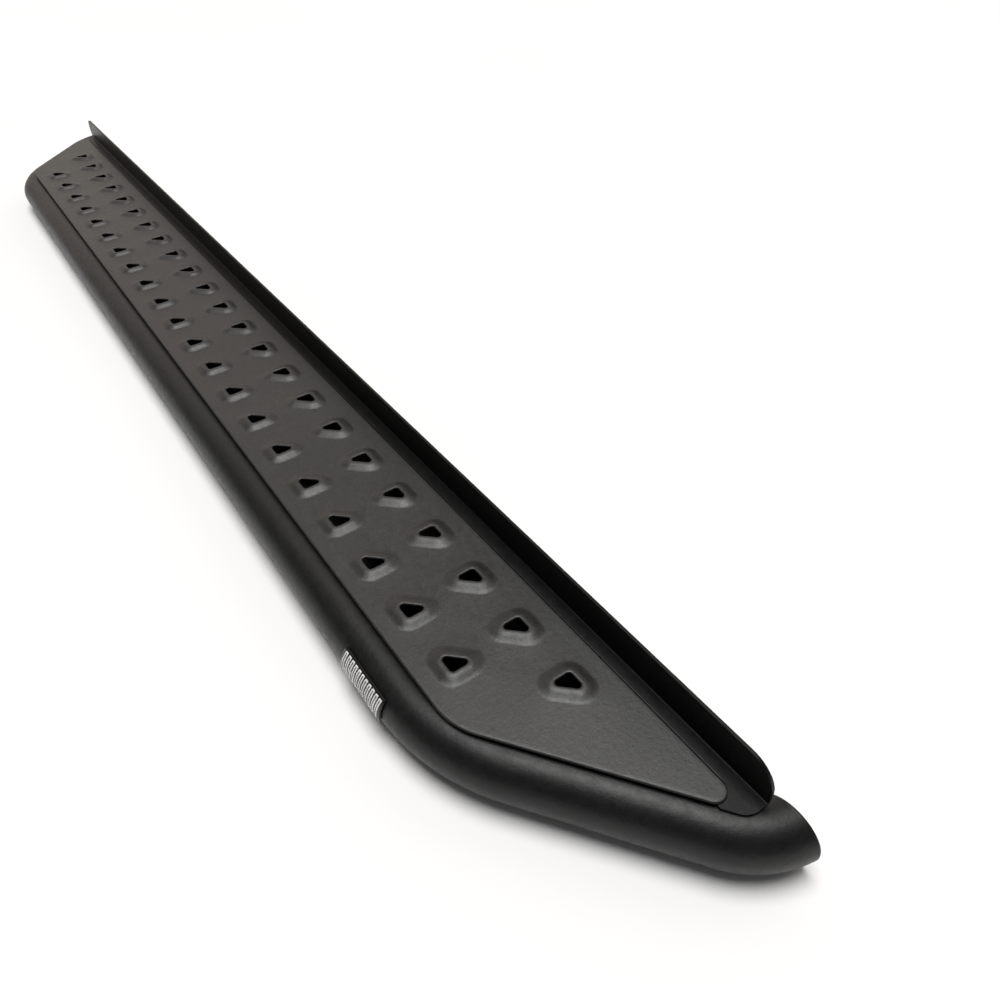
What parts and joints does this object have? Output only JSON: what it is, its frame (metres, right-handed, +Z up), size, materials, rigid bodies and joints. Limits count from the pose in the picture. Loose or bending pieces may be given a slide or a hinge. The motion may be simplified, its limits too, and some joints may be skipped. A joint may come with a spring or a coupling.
{
  "type": "running board",
  "caption": "Long side step: a bent round tube and a straight rear tube carry a black tread sheet with raised three-sided holes, an upright rear angle, end discs and a small badge.",
  "frame": {"origin": "centre of the footprint, on the ground under the tubes", "axes": "+X along the vehicle, towards the end with the longer sweep and the badge; +Y towards the vehicle, where the upright of the rear angle stands; +Z up"},
  "size_m": [2.0873, 0.2181, 0.0985],
  "materials": {
    "powder_coat": "fine textured black powder coat on tube, satin",
    "tread_coat": "fine textured black powder coat on the tread sheet",
    "angle_coat": "textured black powder coat with handling scuffs",
    "weld_coat": "black powder coat over small weld beads",
    "plug": "moulded black plastic plug",
    "nut_steel": "zinc plated steel weld nuts",
    "badge_base": "gloss black moulded badge base",
    "badge_pad": "black foam adhesive pad",
    "badge_raised": "silver raised bars, plain and unlettered"
  },
  "bodies": {
    "root": {"main_tube": "powder_coat", "rear_tube": "powder_coat", "step_plate": "tread_coat", "rear_angle": "angle_coat", "front_end_disc": "powder_coat", "back_end_disc": "powder_coat", "front_disc_plug": "plug", "back_disc_plug": "plug", "cross_member_1": "powder_coat", "cross_member_2": "powder_coat", "cross_member_3": "powder_coat", "cross_member_4": "powder_coat", "weld_nuts_1": "nut_steel", "weld_nuts_2": "nut_steel", "weld_nuts_3": "nut_steel", "weld_nuts_4": "nut_steel", "badge_plate": "badge_base", "badge_pad": "badge_pad", "badge_bars": "badge_raised", "angle_stitch_welds": "weld_coat", "plate_stitch_welds": "weld_coat", "cross_member_welds": "weld_coat", "tube_joint_welds": "weld_coat"}
  },
  "joints": []
}
